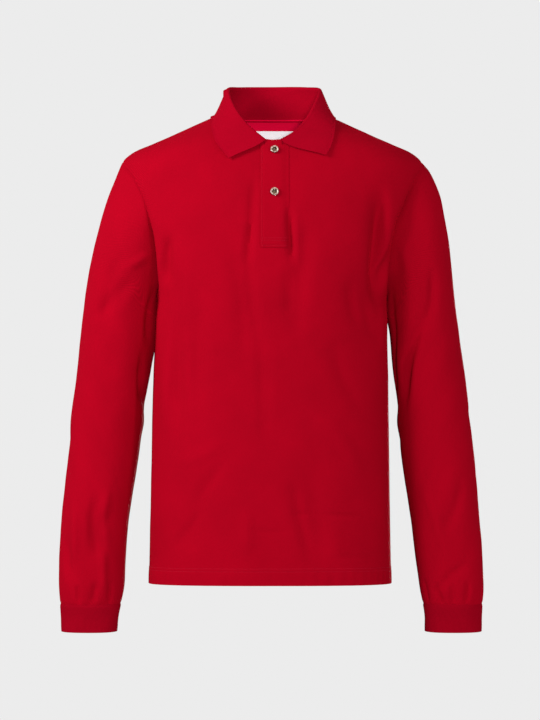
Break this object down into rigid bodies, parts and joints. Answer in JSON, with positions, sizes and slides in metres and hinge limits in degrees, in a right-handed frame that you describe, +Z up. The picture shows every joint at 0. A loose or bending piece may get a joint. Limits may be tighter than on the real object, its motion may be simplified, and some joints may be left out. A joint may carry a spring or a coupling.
{
  "type": "polo shirt",
  "caption": "Long-sleeved knitted polo shirt with a folded collar, a buttoned placket and ribbed cuffs, filled out as if worn with nobody in it.",
  "frame": {"origin": "the middle of the neck from side to side, at the height of the highest point of the shoulders and between the front and back of the shoulder seams, where the wearer holds the shirt up", "axes": "+Z up, -Y the front with the placket, +X the wearer's left"},
  "size_m": [0.6133, 0.2267, 0.7949],
  "materials": {
    "red_pique": "matt pique knit",
    "red_rib": "matt rib knit",
    "white_tape": "satin weave",
    "pearl": "glossy, marbled"
  },
  "bodies": {
    "root": {"front": "red_pique", "back": "red_pique", "sleeve_left": "red_pique", "sleeve_right": "red_pique", "cuff_left": "red_rib", "cuff_right": "red_rib", "collar": "red_rib", "placket_top": "red_pique", "placket_under": "red_pique", "neck_tape": "red_pique", "neck_label": "white_tape", "button_upper": "pearl", "button_lower": "pearl"}
  },
  "joints": []
}
